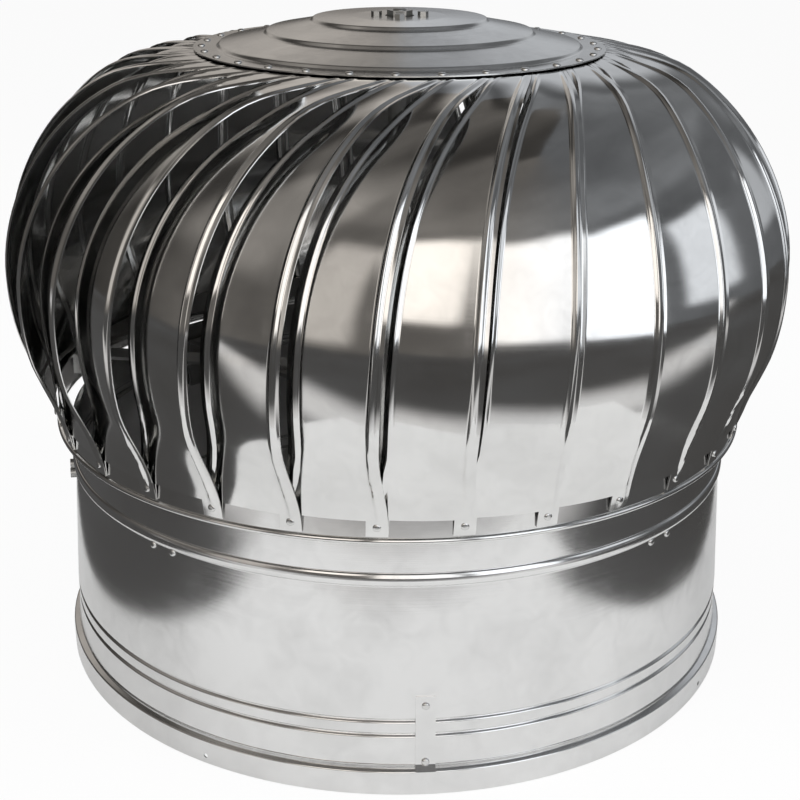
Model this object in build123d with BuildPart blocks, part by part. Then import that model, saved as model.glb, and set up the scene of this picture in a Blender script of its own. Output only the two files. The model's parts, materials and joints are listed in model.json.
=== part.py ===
from build123d import *
import math
import os

os.makedirs("parts", exist_ok=True)

# Driving dimensions, in millimetres and degrees. The origin is the centre of the base's bottom
# edge, +Z points up along the spin axis and the front of the ventilator faces -Y.
# Angles round the axis are counted from the front, positive towards +X.

# Neck, the fixed sheet-metal base
throat_radius = 300.0  # outside of the neck above its ledge
neck_height = 226.0
neck_sheet = 1.0
skirt_flare = 13.0  # how far the bottom hem stands outside the throat
hem_height = 21.0
foot_band_height = 24.0  # sloping band above the hem
foot_band_flare = 8.0  # its lower edge, outside the throat
waist_flare = 6.0  # its upper edge, the narrow rib and the foot of the tapered wall
rib_height = 9.0
groove_width = 4.0
groove_depth = 2.5
ledge_drop = 40.0  # centre of the raised bead below the neck's top
ledge_bead_width = 11.0
ledge_bead_depth = 2.5
neck_hem_width = 5.0  # inward turned lip at the neck's top
fixing_hole_radius = 2.0
fixing_hole_height = 7.0
fixing_hole_angle = -30.0
fixing_hole_count = 4

# Seam strap that bridges the pressed grooves over the neck's joint
strap_angle = 4.4
strap_width = 16.0
strap_bottom = 14.0
strap_top = 86.0
strap_sheet = 1.2

# Cross bars that carry the shaft inside the neck
bar_width = 32.0
bar_thickness = 4.0
bar_bend_radius = 8.0
bar_depth = 23.0  # underside of the lower bar below the neck's top
bar_drop = 45.0  # length of the turned-down ends
bar_angles = (-39.0, 46.0)
side_screw_angle = -79.0
side_screw_drop = 10.5  # upper screw below the ledge bead's centre, its head just clear
side_screw_spacing = 9.0
side_screw_radius = 2.5
side_screw_head = 5.0
side_screw_head_radius = 4.5
side_screw_length = 8.0

# Shaft and its fastenings
shaft_radius = 10.0
shaft_end_radius = 6.0
shaft_tip = 577.5
shaft_tail = 26.0  # stub below the cross bars
shaft_chamfer = 1.0
clamp_nut_flats = 30.0
clamp_nut_height = 12.0
washer_radius = 19.0
washer_thickness = 3.0
top_nut_flats = 19.0
top_nut_height = 8.0
top_washer_thickness = 1.5
top_washer_radius = 10.0
sleeve_radius = 14.0  # spacer under the lower bearing

# Sealed ball bearings: radius where the rings part, outer radius and width
lower_split = 15.5
lower_outer = 23.5
lower_width = 14.0
upper_split = 10.5
upper_outer = 16.0
upper_width = 10.0
running_clearance = 0.05
seat_clearance = 0.02

# Rotor ring, spider and top plate
ring_overhang = 11.0  # how far the plain ring wall stands outside the throat
ring_sheet = 1.0
ring_lap = 4.0  # how far the ring hangs over the neck's top
ring_height = 30.0
ring_bead_radius = 2.5
arm_count = 3
arm_first_blade = 2  # the first arm lines up with this blade rivet, counted from the front
arm_width = 25.0
arm_thickness = 3.0
arm_inset = 6.0  # underside of the spider arms below the ring's top
arm_tab_drop = 16.0
arm_start = 27.0
spider_plate_radius = 58.0
spider_plate_thickness = 3.0
spider_plate_hole = 20.0
plate_rim_radius = 177.0
plate_sheet = 1.0
plate_crown = 571.5  # top of the plate's middle
plate_flat_radius = 40.0
step_radii = (76.5, 116.5, 157.0)
step_levels = (567.5, 557.5, 547.0)
step_drop = 3.0
step_run = 2.0

# Bearing housings and their bolts
upper_flange_radius = 34.0
upper_body_radius = 26.0
upper_hole_radius = 12.5
upper_bolt_circle = 20.0
upper_bolt_length = 12.0
upper_bolt_count = 4
lower_flange_radius = 46.0
lower_body_radius = 28.0
lower_bolt_circle = 37.0
flange_thickness = 4.0
housing_lip = 2.0
bolt_flats = 8.0
bolt_head = 3.5
bolt_radius = 2.5

# Blades
blade_count = 30
blade_sheet = 0.8
blade_phase = -2.7  # angle of the rivet that joins the front pair of blades
head_overhang = 25.5  # middle of the blades at the widest height, outside the ring
head_level = 365.0
blade_foot_rise = 7.0  # the blades' lower edge above the ring's
rim_lap = 17.0  # how far the plate's rim reaches over the blade ends
blade_lift = 9.0  # how far one edge stands out and the other stands in
bead_height = 2.6
bead_width = 7.0
lip_width = 3.0
tab_width = 17.0
tab_height = 14.0
tab_stack = 1.5  # distance between the lapped corners, in sheets, so that they lie clear
sweep_slope = 2.2  # edge line: degrees of turn along the meridian, gentle part
sweep_curl = 29.5  # and the part that gathers towards the top
sweep_power = 4.8
blade_end_gap = 0.4  # between neighbours under the top rim
flat_crown = 0.05  # least arch across a blade
foot_lean = 0.06  # how the lower curve leaves the ring outward and upward
foot_fullness = 0.53
waist_fullness = 0.48
side_fullness = 0.42  # how far the upper curve holds the side and the shoulder
shoulder_fullness = 0.64
foot_share = 0.2  # part of the blade's length over which the foot opens out
end_share = 0.16  # and over which the top end flattens
end_flat = 0.07  # the part that lies flat under the plate's rim
rim_gap = 0.3  # between the blade ends and the rim that is riveted to them
stations = (0, 0.035, 0.09, 0.16, 0.27, 0.42, 0.57, 0.7, 0.8, 0.87, 0.925, 0.96, 1)

skirt_radius = throat_radius + skirt_flare
foot_band_radius = throat_radius + foot_band_flare
waist_radius = throat_radius + waist_flare
ledge_height = neck_height - ledge_drop
side_screw_height = ledge_height - side_screw_drop
bar_level = neck_height - bar_depth
ring_radius = throat_radius + ring_overhang
ring_bottom = neck_height - ring_lap
ring_top = ring_bottom + ring_height
arm_level = ring_top - arm_inset
head_radius = ring_radius + head_overhang
blade_foot = ring_bottom + blade_foot_rise
blade_end_radius = plate_rim_radius - rim_lap
blade_pitch = 360.0 / blade_count
arm_blades = [arm_first_blade + round(k * blade_count / arm_count) for k in range(arm_count)]
arm_angles = [blade_phase + blade_pitch * k for k in arm_blades]


def place(radius, angle, height=0.0):
    """Point at a radius, at an angle from the front, at a height."""
    turn = math.radians(angle)
    return Vector(radius * math.sin(turn), -radius * math.cos(turn), height)


def radial_plane(angle, height=0.0):
    """Upright plane through the axis, x outward at an angle from the front, y up."""
    outward = place(1, angle)
    return Plane(origin=(0, 0, height), x_dir=outward, z_dir=outward.cross(Vector(0, 0, 1)))


def facing_plane(radius, angle, height):
    """Plane that faces outward at a point on a cylinder, x along the cylinder, y up."""
    along = Vector(0, 0, 1).cross(place(1, angle))
    return Plane(origin=place(radius, angle, height), x_dir=along, z_dir=place(1, angle))


def write(part, label):
    """Label a finished piece and write it as its own STEP file."""
    part.label = label
    export_step(part, f"parts/{label}.step")


def turned_ring(outer, inner, bottom, top):
    """Plain ring round the axis."""
    with BuildPart() as ring:
        with BuildSketch(Plane.XY.offset(bottom)):
            Circle(outer)
            Circle(inner, mode=Mode.SUBTRACT)
        extrude(amount=top - bottom)
    return ring.part


# Neck: one sheet wall with pressed grooves, a raised bead and a turned-in top lip

def groove(radius_below, radius_above, centre):
    """Points of one pressed groove, from below to above."""
    half = groove_width / 2
    floor = min(radius_below, radius_above) - groove_depth
    return [(radius_below, centre - half), (floor, centre), (radius_above, centre + half)]


hem_groove = hem_height + groove_width / 2
waist_groove = hem_groove + groove_width + foot_band_height
rib_groove = waist_groove + groove_width + rib_height
bead_half = ledge_bead_width / 2
neck_profile = [(skirt_radius, 0)]
neck_profile += groove(skirt_radius, foot_band_radius, hem_groove)
neck_profile += groove(waist_radius, waist_radius, waist_groove)
neck_profile += groove(waist_radius, waist_radius, rib_groove)


def neck_radius(height):
    """Outside of the tapered wall at a height between the narrow rib and the ledge."""
    wall_foot = rib_groove + groove_width / 2
    return waist_radius - waist_flare * (height - wall_foot) / (ledge_height - bead_half - wall_foot)


with BuildPart() as neck:
    with BuildSketch(Plane.XZ):
        with BuildLine():
            Polyline(*neck_profile)
            Line(neck_profile[-1], (throat_radius, ledge_height - bead_half))
            ThreePointArc(
                (throat_radius, ledge_height - bead_half),
                (throat_radius + ledge_bead_depth, ledge_height),
                (throat_radius, ledge_height + bead_half),
            )
            Line((throat_radius, ledge_height + bead_half), (throat_radius, neck_height))
            Line((throat_radius, neck_height), (throat_radius - neck_hem_width, neck_height))
            offset(amount=neck_sheet, side=Side.LEFT, kind=Kind.INTERSECTION)
        make_face()
    revolve(axis=Axis.Z)
    fixing_step = 360 / fixing_hole_count
    fixing_angles = [fixing_hole_angle + k * fixing_step for k in range(fixing_hole_count)]
    with Locations(*[facing_plane(skirt_radius, a, fixing_hole_height) for a in fixing_angles]):
        Hole(fixing_hole_radius, depth=3 * groove_depth)
    screw_planes = []
    for height in (side_screw_height - side_screw_spacing, side_screw_height):
        seat_radius = neck_radius(height - side_screw_head_radius) + seat_clearance
        screw_planes.append(facing_plane(seat_radius, side_screw_angle, height))
    with Locations(*screw_planes):
        Hole(side_screw_radius + seat_clearance, depth=3 * neck_sheet)
write(neck.part, "base_neck")

with BuildPart() as side_screws:
    for seat in screw_planes:
        with BuildSketch(seat):
            Circle(side_screw_head_radius)
        extrude(amount=side_screw_head)
        with BuildSketch(seat):
            Circle(side_screw_radius)
        extrude(amount=-side_screw_length)
write(side_screws.part, "side_screws")


# Seam strap: a bent strip over the grooves, round at its lower end

strap_foot_radius = skirt_radius + seat_clearance
with BuildPart() as strap:
    with BuildSketch(radial_plane(strap_angle)):
        with BuildLine():
            Polyline(
                (strap_foot_radius, strap_bottom),
                (strap_foot_radius, hem_groove - groove_width / 2),
                (foot_band_radius + seat_clearance, hem_groove + groove_width / 2),
                (waist_radius + seat_clearance, waist_groove - groove_width / 2),
                (waist_radius + seat_clearance, rib_groove + groove_width / 2),
                (neck_radius(strap_top) + seat_clearance, strap_top),
            )
            offset(amount=strap_sheet, side=Side.RIGHT, kind=Kind.INTERSECTION)
        make_face()
    extrude(amount=strap_width / 2, both=True)
    with BuildSketch(facing_plane(skirt_radius, strap_angle, strap_bottom + strap_width / 2)):
        Rectangle(2 * strap_width, strap_width / 2, align=(Align.CENTER, Align.MAX))
        Circle(strap_width / 2, mode=Mode.SUBTRACT)
    extrude(amount=skirt_radius - throat_radius, both=True, mode=Mode.SUBTRACT)
write(strap.part, "seam_strap")


# Cross bars: two flat bars, turned down at both ends against the neck's inner wall

wall_radius = throat_radius - neck_sheet
bar_reach = math.sqrt(wall_radius**2 - (bar_width / 2) ** 2) - seat_clearance
bar_foot = bar_level - bar_drop
shaft_hole = shaft_radius + seat_clearance

for label, angle, level in (
    ("cross_bar_lower", bar_angles[0], bar_level),
    ("cross_bar_upper", bar_angles[1], bar_level + bar_thickness),
):
    with BuildPart() as bar:
        with BuildSketch(radial_plane(angle)):
            with BuildLine():
                FilletPolyline(
                    (-bar_reach, bar_foot),
                    (-bar_reach, level + bar_thickness),
                    (bar_reach, level + bar_thickness),
                    (bar_reach, bar_foot),
                    radius=bar_bend_radius,
                )
                offset(amount=bar_thickness, side=Side.RIGHT, kind=Kind.INTERSECTION)
            make_face()
        extrude(amount=bar_width / 2, both=True)
        with BuildSketch(Plane.XY.offset(level)):
            Circle(shaft_hole)
        extrude(amount=bar_thickness, mode=Mode.SUBTRACT)
    write(bar.part, label)


# Shaft with a thinner upper end, clamped to the cross bars by two washers and two nuts

bar_top = bar_level + 2 * bar_thickness
sleeve_bottom = bar_top + washer_thickness + clamp_nut_height
spider_top = arm_level + arm_thickness + spider_plate_thickness
lower_bearing_top = spider_top + lower_width
plate_underside = plate_crown - plate_sheet
upper_bearing_top = plate_underside - flange_thickness
shoulder = upper_bearing_top - upper_width

with BuildPart() as shaft:
    with BuildSketch(Plane.XZ):
        with BuildLine():
            Polyline(
                (0, bar_level - shaft_tail),
                (shaft_radius, bar_level - shaft_tail),
                (shaft_radius, shoulder),
                (shaft_end_radius, shoulder),
                (shaft_end_radius, shaft_tip),
                (0, shaft_tip),
                close=True,
            )
        make_face()
    revolve(axis=Axis.Z)
    ends = shaft.edges().group_by(Axis.Z)
    chamfer(ends[0] + ends[-1], length=shaft_chamfer)
write(shaft.part, "shaft")

with BuildPart() as clamp_nuts:
    for level in (bar_top + washer_thickness, bar_level - washer_thickness - clamp_nut_height):
        with BuildSketch(Plane.XY.offset(level)):
            RegularPolygon(clamp_nut_flats / 2, 6, major_radius=False)
            Circle(shaft_hole, mode=Mode.SUBTRACT)
        extrude(amount=clamp_nut_height)
write(clamp_nuts.part, "shaft_clamp_nuts")

with BuildPart() as clamp_washers:
    for level in (bar_top, bar_level - washer_thickness):
        with BuildSketch(Plane.XY.offset(level)):
            Circle(washer_radius)
            Circle(shaft_hole, mode=Mode.SUBTRACT)
        extrude(amount=washer_thickness)
write(clamp_washers.part, "shaft_clamp_washers")

write(turned_ring(sleeve_radius, shaft_hole, sleeve_bottom, spider_top), "spacer_sleeve")

top_washer_level = upper_bearing_top + top_washer_thickness
top_hole = shaft_end_radius + seat_clearance
write(turned_ring(top_washer_radius, top_hole, upper_bearing_top, top_washer_level), "top_washer")

with BuildPart() as top_nut:
    with BuildSketch(Plane.XY.offset(top_washer_level)):
        RegularPolygon(top_nut_flats / 2, 6, major_radius=False)
        Circle(top_hole, mode=Mode.SUBTRACT)
    extrude(amount=top_nut_height)
write(top_nut.part, "top_nut")


# Sealed bearings: the inner rings stay with the shaft, the outer rings turn with the rotor

for label, bore, split, outer, bottom, top in (
    ("lower_bearing", shaft_radius, lower_split, lower_outer, spider_top, lower_bearing_top),
    ("upper_bearing", shaft_end_radius, upper_split, upper_outer, shoulder, upper_bearing_top),
):
    write(turned_ring(split, bore + seat_clearance, bottom, top), f"{label}_inner")
    write(turned_ring(outer, split + running_clearance, bottom, top), f"{label}_outer")


# Bearing housings: a flange and a cup, the upper one under the top plate, the lower one on the
# spider plate

with BuildPart() as upper_housing:
    with BuildSketch(Plane.XY.offset(upper_bearing_top)):
        Circle(upper_flange_radius)
    extrude(amount=flange_thickness)
    with BuildSketch(Plane.XY.offset(shoulder)):
        Circle(upper_body_radius)
    extrude(amount=upper_width)
    with BuildSketch(Plane.XY.offset(shoulder)):
        Circle(upper_outer + seat_clearance)
    extrude(amount=upper_width, mode=Mode.SUBTRACT)
    with BuildSketch(Plane.XY.offset(upper_bearing_top)):
        Circle(upper_hole_radius)
    extrude(amount=flange_thickness, mode=Mode.SUBTRACT)
    with Locations(Plane.XY.offset(plate_underside)):
        with PolarLocations(upper_bolt_circle, upper_bolt_count):
            Hole(bolt_radius + seat_clearance, depth=upper_bolt_length)
write(upper_housing.part, "upper_housing")

with BuildPart() as lower_housing:
    with BuildSketch(Plane.XY.offset(spider_top)):
        Circle(lower_flange_radius)
    extrude(amount=flange_thickness)
    with BuildSketch(Plane.XY.offset(spider_top)):
        Circle(lower_body_radius)
    extrude(amount=lower_width + housing_lip)
    with BuildSketch(Plane.XY.offset(spider_top)):
        Circle(lower_outer + seat_clearance)
    extrude(amount=lower_width, mode=Mode.SUBTRACT)
    with BuildSketch(Plane.XY.offset(lower_bearing_top)):
        Circle(lower_split + housing_lip)
    extrude(amount=housing_lip, mode=Mode.SUBTRACT)
    with Locations(*[place(lower_bolt_circle, a, spider_top + flange_thickness) for a in arm_angles]):
        Hole(bolt_radius + seat_clearance, depth=flange_thickness)
write(lower_housing.part, "lower_housing")


# Rotor ring, with a rolled bead along its lower edge

with BuildPart() as ring:
    with BuildSketch(Plane.XZ):
        with BuildLine():
            ThreePointArc(
                (ring_radius, ring_bottom),
                (ring_radius + ring_bead_radius, ring_bottom + ring_bead_radius),
                (ring_radius, ring_bottom + 2 * ring_bead_radius),
            )
            Line((ring_radius, ring_bottom + 2 * ring_bead_radius), (ring_radius, ring_top))
            offset(amount=ring_sheet, side=Side.LEFT, kind=Kind.INTERSECTION)
        make_face()
    revolve(axis=Axis.Z)
write(ring.part, "rotor_ring")


# Spider: flat arms from the hub to the ring, bolted between the plate and their nuts

ring_wall = ring_radius - ring_sheet
arm_reach = math.sqrt(ring_wall**2 - (arm_width / 2) ** 2) - seat_clearance
plate_level = arm_level + arm_thickness

for number, angle in enumerate(arm_angles, start=1):
    with BuildPart() as arm:
        with BuildSketch(radial_plane(angle)):
            with BuildLine():
                Polyline(
                    (arm_start, plate_level),
                    (arm_reach, plate_level),
                    (arm_reach, arm_level - arm_tab_drop),
                )
                offset(amount=arm_thickness, side=Side.RIGHT, kind=Kind.INTERSECTION)
            make_face()
        extrude(amount=arm_width / 2, both=True)
        with Locations(place(lower_bolt_circle, angle, plate_level)):
            Hole(bolt_radius + seat_clearance, depth=arm_thickness)
    write(arm.part, f"spider_arm_{number}")

with BuildPart() as spider_plate:
    with BuildSketch(Plane.XY.offset(plate_level)):
        Circle(spider_plate_radius)
        Circle(spider_plate_hole, mode=Mode.SUBTRACT)
        with Locations(*[place(lower_bolt_circle, a) for a in arm_angles]):
            Circle(bolt_radius + seat_clearance, mode=Mode.SUBTRACT)
    extrude(amount=spider_plate_thickness)
write(spider_plate.part, "spider_plate")

lower_bolt_seat = spider_top + flange_thickness
with BuildPart() as hub_bolts:
    for angle in arm_angles:
        with BuildSketch(Plane(place(lower_bolt_circle, angle, lower_bolt_seat))):
            RegularPolygon(bolt_flats / 2, 6, major_radius=False)
        extrude(amount=bolt_head)
        with BuildSketch(Plane(place(lower_bolt_circle, angle, lower_bolt_seat))):
            Circle(bolt_radius)
        extrude(amount=-(lower_bolt_seat - arm_level + 2 * bolt_head))
write(hub_bolts.part, "hub_bolts")

with BuildPart() as hub_nuts:
    for angle in arm_angles:
        with BuildSketch(Plane(place(lower_bolt_circle, angle, arm_level))):
            RegularPolygon(bolt_flats / 2, 6, major_radius=False)
            Circle(bolt_radius + seat_clearance, mode=Mode.SUBTRACT)
        extrude(amount=-bolt_head)
write(hub_nuts.part, "hub_nuts")


# Top plate: a pressed cover that steps down to a flat rim over the blade ends

plate_profile = [(upper_hole_radius, plate_crown), (plate_flat_radius, plate_crown)]
for radius, level in zip(step_radii, step_levels):
    plate_profile += [(radius - step_run, level + step_drop), (radius, level)]
plate_profile += [(plate_rim_radius, step_levels[-1])]

with BuildPart() as top_plate:
    with BuildSketch(Plane.XZ):
        with BuildLine():
            Polyline(*plate_profile)
            offset(amount=plate_sheet, side=Side.RIGHT, kind=Kind.INTERSECTION)
        make_face()
    revolve(axis=Axis.Z)
    with Locations(Plane.XY.offset(plate_crown)):
        with PolarLocations(upper_bolt_circle, upper_bolt_count):
            Hole(bolt_radius + seat_clearance, depth=plate_sheet)
write(top_plate.part, "top_plate")

with BuildPart() as plate_bolts:
    with BuildSketch(Plane.XY.offset(plate_crown)):
        with PolarLocations(upper_bolt_circle, upper_bolt_count):
            RegularPolygon(bolt_flats / 2, 6, major_radius=False)
    extrude(amount=bolt_head)
    with BuildSketch(Plane.XY.offset(plate_crown)):
        with PolarLocations(upper_bolt_circle, upper_bolt_count):
            Circle(bolt_radius)
    extrude(amount=-upper_bolt_length)
write(plate_bolts.part, "plate_bolts")


# Blades: each is a sheet strip lofted along the head's meridian, with a bead beside each edge.
# One edge stands in and the other stands out, so neighbours lap like louvres. At the foot the
# corners of neighbours stack on the ring as tabs, with the sheet cut away between them.

plate_rim_level = step_levels[-1] - plate_sheet
foot_lift = tab_stack / 2 * blade_sheet
foot_radius = ring_radius + seat_clearance + foot_lift + blade_sheet / 2
end_level = plate_rim_level - rim_gap - blade_sheet / 2 - flat_crown
tab_angle = math.degrees(tab_width / 2 / ring_radius)
end_gap_angle = math.degrees(blade_end_gap / 2 / blade_end_radius)
lower_rise = head_level - blade_foot
upper_rise = end_level - head_level

with BuildLine() as meridian:
    Bezier(
        (foot_radius, blade_foot),
        (foot_radius + foot_lean * lower_rise, blade_foot + foot_fullness * lower_rise),
        (head_radius, head_level - waist_fullness * lower_rise),
        (head_radius, head_level),
    )
    Bezier(
        (head_radius, head_level),
        (head_radius, head_level + side_fullness * upper_rise),
        (blade_end_radius + shoulder_fullness * (head_radius - blade_end_radius), end_level),
        (blade_end_radius, end_level),
    )
head_line = meridian.wire()


def ease(share):
    """Smooth step from 0 to 1."""
    share = max(0.0, min(share, 1.0))
    return share * share * (3 - 2 * share)


def sweep_angle(t):
    """Turn of the blade's edges at a share of the meridian, from the foot's rivet."""
    return sweep_slope * t + sweep_curl * t**sweep_power


def head_point(t, angle, lift):
    """Point off the head's surface at a share of the meridian, lifted along its normal."""
    spot = head_line @ t
    run = head_line % t
    return place(spot.X + lift * run.Y, angle, spot.Y - lift * run.X)


def blade_station(t):
    """Plane of one cross-section of the blade, its width, bulge and bead height."""
    foot = ease(t / foot_share)
    end = ease((1 - end_flat - t) / end_share)
    lift = blade_lift * foot * end + foot_lift * (1 - foot)
    lap = tab_angle * (1 - foot) - end_gap_angle * (1 - end)
    start = sweep_angle(t) - lap
    finish = sweep_angle(t) + blade_pitch + lap
    left = head_point(t, start, -lift)
    across = head_point(t, finish, lift) - left
    middle = (start + finish) / 2
    normal = head_point(t, middle, 1) - head_point(t, middle, 0)
    arch = (head_line % t).Y * (head_line @ t).X * (1 - math.cos(math.radians(middle - start)))
    plane = Plane(origin=left, x_dir=across, z_dir=across.cross(normal))
    return plane, across.length, max(arch, flat_crown), bead_height * foot * end


def blade_outline(width, bulge, bead):
    """Closed outline of the sheet in a station's plane, drawn inside a BuildLine."""
    spots = [0, lip_width, lip_width + bead_width / 2, lip_width + bead_width]
    spots += [width - a for a in reversed(spots)]
    rises = [0, 0, bead, 0, 0, bead, 0, 0]
    half = blade_sheet / 2
    outer = [
        (a, half + rise + 4 * bulge * a * (width - a) / width**2)
        for a, rise in zip(spots, rises)
    ]
    Polyline(*outer[:4])
    ThreePointArc(outer[3], (width / 2, bulge + half), outer[4])
    Polyline(*outer[4:])
    Line(outer[-1], (width, -half))
    ThreePointArc((width, -half), (width / 2, bulge - half), (0, -half))
    Line((0, -half), outer[0])


with BuildPart() as blade:
    for t in stations:
        plane, width, bulge, bead = blade_station(t)
        with BuildSketch(plane):
            with BuildLine():
                blade_outline(width, bulge, bead)
            make_face()
    loft()
    with BuildSketch(radial_plane(tab_angle)):
        with Locations((ring_radius, blade_foot)):
            Rectangle(4 * tab_height, 2 * tab_height)
    revolve(axis=Axis.Z, revolution_arc=blade_pitch - 2 * tab_angle, mode=Mode.SUBTRACT)

for number in range(blade_count):
    turned = blade.part.rotate(Axis.Z, blade_phase + number * blade_pitch)
    write(turned, f"blade_{number + 1:02d}")
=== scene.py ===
"""Looks of a roof turbine ventilator: bright louvre head, neck, rivets, floor, light and camera."""

import json
import logging
import math
from dataclasses import dataclass, replace
from enum import Enum
from typing import Callable, Sequence, Union

import bmesh
import bpy
from mathutils import Euler, Matrix, Vector


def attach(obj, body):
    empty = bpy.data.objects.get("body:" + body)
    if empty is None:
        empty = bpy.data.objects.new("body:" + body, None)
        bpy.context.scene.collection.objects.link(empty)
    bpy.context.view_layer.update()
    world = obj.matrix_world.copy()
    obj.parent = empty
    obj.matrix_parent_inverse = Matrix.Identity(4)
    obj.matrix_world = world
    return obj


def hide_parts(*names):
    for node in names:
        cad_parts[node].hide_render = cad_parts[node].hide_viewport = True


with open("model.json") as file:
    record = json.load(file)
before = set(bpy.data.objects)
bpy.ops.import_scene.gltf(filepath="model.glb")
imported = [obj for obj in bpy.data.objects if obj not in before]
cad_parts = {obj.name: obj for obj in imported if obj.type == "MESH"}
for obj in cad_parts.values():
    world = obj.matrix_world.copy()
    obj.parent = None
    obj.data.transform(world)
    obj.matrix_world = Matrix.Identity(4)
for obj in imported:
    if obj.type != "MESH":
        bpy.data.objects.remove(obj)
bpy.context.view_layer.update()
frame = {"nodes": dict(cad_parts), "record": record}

LOG = logging.getLogger("ventilator")
MM = 0.001
DEGREES = 180.0 / math.pi
CREASE = math.radians(38.0)  # edges that turn by more than this stay sharp

Operand = Union["Field", int, float]


# Node trees written as Python expressions


class Field:
    """A node socket whose arithmetic adds Math nodes to its tree."""

    def __init__(self, tree: "Tree", socket: bpy.types.NodeSocket) -> None:
        """Wrap an output socket and the tree that new nodes go into."""
        self.tree = tree
        self.socket = socket

    def maths(self, operation: str, *operands: Operand) -> "Field":
        """Add one Math node, its inputs in order, this field among them."""
        return self.tree.node("ShaderNodeMath", dict(enumerate(operands)), operation=operation)

    def __add__(self, other: Operand) -> "Field":
        """Sum."""
        return self.maths("ADD", self, other)

    def __radd__(self, other: Operand) -> "Field":
        """Sum with this field on the right."""
        return self.maths("ADD", other, self)

    def __sub__(self, other: Operand) -> "Field":
        """Difference."""
        return self.maths("SUBTRACT", self, other)

    def __rsub__(self, other: Operand) -> "Field":
        """Difference with this field on the right."""
        return self.maths("SUBTRACT", other, self)

    def __mul__(self, other: Operand) -> "Field":
        """Product."""
        return self.maths("MULTIPLY", self, other)

    def __rmul__(self, other: Operand) -> "Field":
        """Product with this field on the right."""
        return self.maths("MULTIPLY", other, self)

    def __truediv__(self, other: Operand) -> "Field":
        """Quotient."""
        return self.maths("DIVIDE", self, other)

    def __rtruediv__(self, other: Operand) -> "Field":
        """Quotient with this field on the right."""
        return self.maths("DIVIDE", other, self)

    def __pow__(self, other: Operand) -> "Field":
        """Power."""
        return self.maths("POWER", self, other)

    def __lt__(self, other: Operand) -> "Field":
        """1 where this field is less."""
        return self.maths("LESS_THAN", self, other)

    def __gt__(self, other: Operand) -> "Field":
        """1 where this field is greater."""
        return self.maths("GREATER_THAN", self, other)

    def lower(self, other: Operand) -> "Field":
        """The lesser of the two."""
        return self.maths("MINIMUM", self, other)

    def higher(self, other: Operand) -> "Field":
        """The greater of the two."""
        return self.maths("MAXIMUM", self, other)

    def sine(self) -> "Field":
        """Sine of an angle in radians."""
        return self.maths("SINE", self)

    def cosine(self) -> "Field":
        """Cosine of an angle in radians."""
        return self.maths("COSINE", self)

    def ease(self) -> "Field":
        """Smooth step from 0 to 1."""
        share = self.higher(0.0).lower(1.0)
        return share * share * (3.0 - 2.0 * share)

    def rise(self, start: float, width: float) -> "Field":
        """Smooth step from 0 at its start to 1 a width further on."""
        return ((self - start) / width).ease()

    def fall(self, end: float, width: float) -> "Field":
        """Smooth step from 1, a width before its end, to 0 there."""
        return ((end - self) / width).ease()

    def band(self, start: Sequence[float], end: Sequence[float]) -> "Field":
        """Rise at one place and fall at another, each given with its width."""
        return self.rise(*start) * self.fall(*end)


Place = tuple[Field, Field, Field]
Value = Union[Field, bpy.types.NodeSocket, bpy.types.ID, int, float, Sequence[float], str]


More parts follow.
